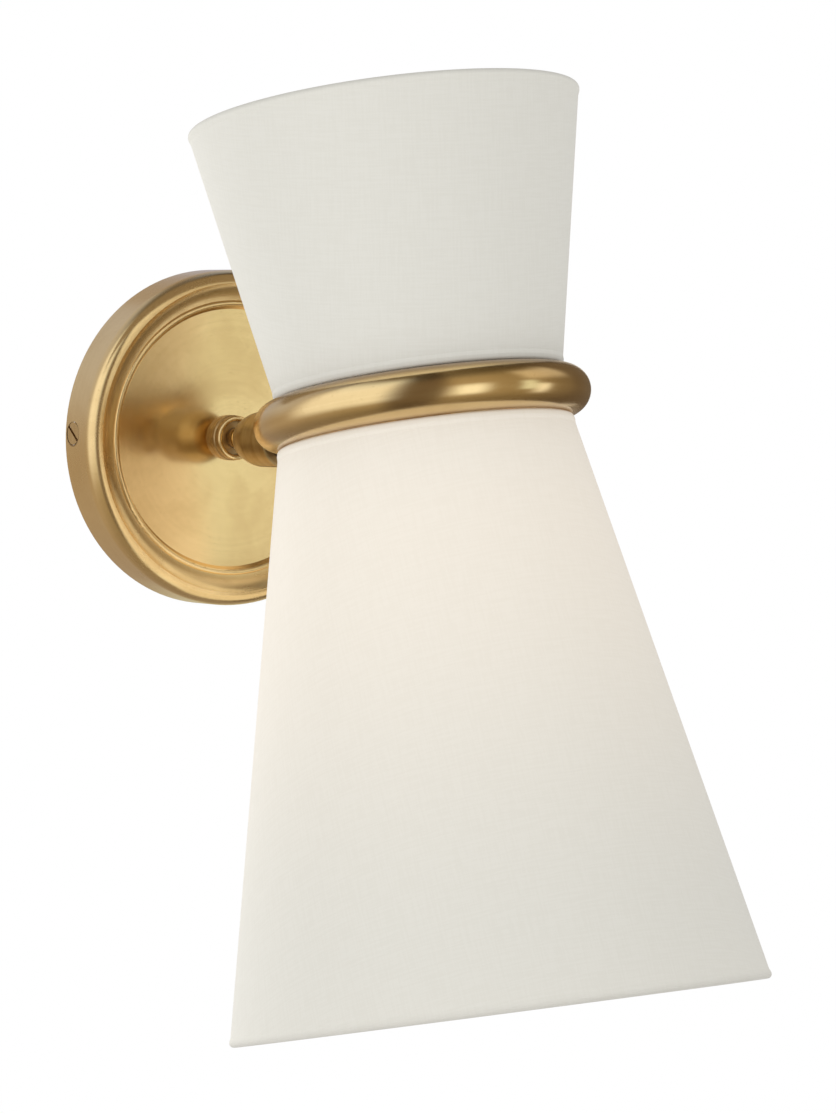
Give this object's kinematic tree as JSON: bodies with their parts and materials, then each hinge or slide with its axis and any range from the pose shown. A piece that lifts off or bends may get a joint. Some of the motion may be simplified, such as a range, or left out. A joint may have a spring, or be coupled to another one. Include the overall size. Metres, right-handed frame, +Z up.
{
  "type": "wall light",
  "caption": "Wall light with a round backplate, a swivelling arm with a tilting knuckle, a ring at the waist and two fabric cones that form an hourglass shade.",
  "frame": {"origin": "middle of the backplate on the wall plane, at the centre of the box screw slots", "axes": "+Y into the wall, so the light stands out along -Y; +X to the right for someone facing the wall; +Z up"},
  "size_m": [0.2142, 0.3111, 0.3864],
  "materials": {
    "antique_brass": "brushed antique brass, lacquered",
    "zinc_steel": "bright zinc-plated steel",
    "white_wire": "white-coated steel wire",
    "linen": "off-white linen on a stiff card",
    "linen_hem": "folded off-white linen hem",
    "phenolic": "black moulded phenolic",
    "contact_brass": "bright plain brass",
    "bulb_cap": "bright rolled thread",
    "bulb_glass": "frosted white glass",
    "earth_green": "green-passivated screw"
  },
  "bodies": {
    "backplate": {"backplate_cover": "antique_brass", "mounting_bracket": "zinc_steel", "cover_side_screws": "antique_brass", "ground_screw": "earth_green", "swivel_bushing": "antique_brass", "bushing_locknut": "zinc_steel", "collar_cup": "antique_brass"},
    "arm": {"swivel_spindle": "antique_brass", "spindle_spring_washer": "zinc_steel", "spindle_locknut": "zinc_steel", "knuckle_bell": "antique_brass", "arm_rod": "antique_brass", "knuckle_fork": "antique_brass", "knuckle_screw": "antique_brass", "knuckle_washer": "antique_brass", "knuckle_nut": "antique_brass"},
    "shade_head": {"knuckle_tongue": "antique_brass", "arm_tube": "antique_brass", "waist_ring_left": "antique_brass", "waist_ring_right": "antique_brass", "hub": "antique_brass", "hub_set_screw": "zinc_steel", "socket_nipple": "zinc_steel", "upper_locknut": "antique_brass", "socket_cap": "antique_brass", "socket_body": "phenolic", "socket_screw_shell": "contact_brass", "socket_contact": "contact_brass", "shade_ring_nut": "phenolic", "bulb_base": "bulb_cap", "bulb_glass": "bulb_glass", "upper_cloth_left": "linen", "upper_cloth_right": "linen", "upper_spider": "white_wire", "upper_waist_wire": "white_wire", "upper_top_wire": "white_wire", "upper_top_hem": "linen_hem", "upper_waist_hem": "linen_hem", "lower_cloth_left": "linen", "lower_cloth_right": "linen", "lower_spider": "white_wire", "lower_waist_wire": "white_wire", "lower_bottom_wire": "white_wire", "lower_bottom_hem": "linen_hem", "lower_waist_hem": "linen_hem"}
  },
  "joints": [
    {"name": "arm_swivel", "type": "hinge", "parent": "backplate", "child": "arm", "pos_m": [0, -0.02, 0], "axis": [0, 1, 0], "range_deg": [-90, 90]},
    {"name": "shade_tilt", "type": "hinge", "parent": "arm", "child": "shade_head", "pos_m": [0, -0.0827, 0], "axis": [1, 0, 0], "range_deg": [-30, 20]}
  ]
}
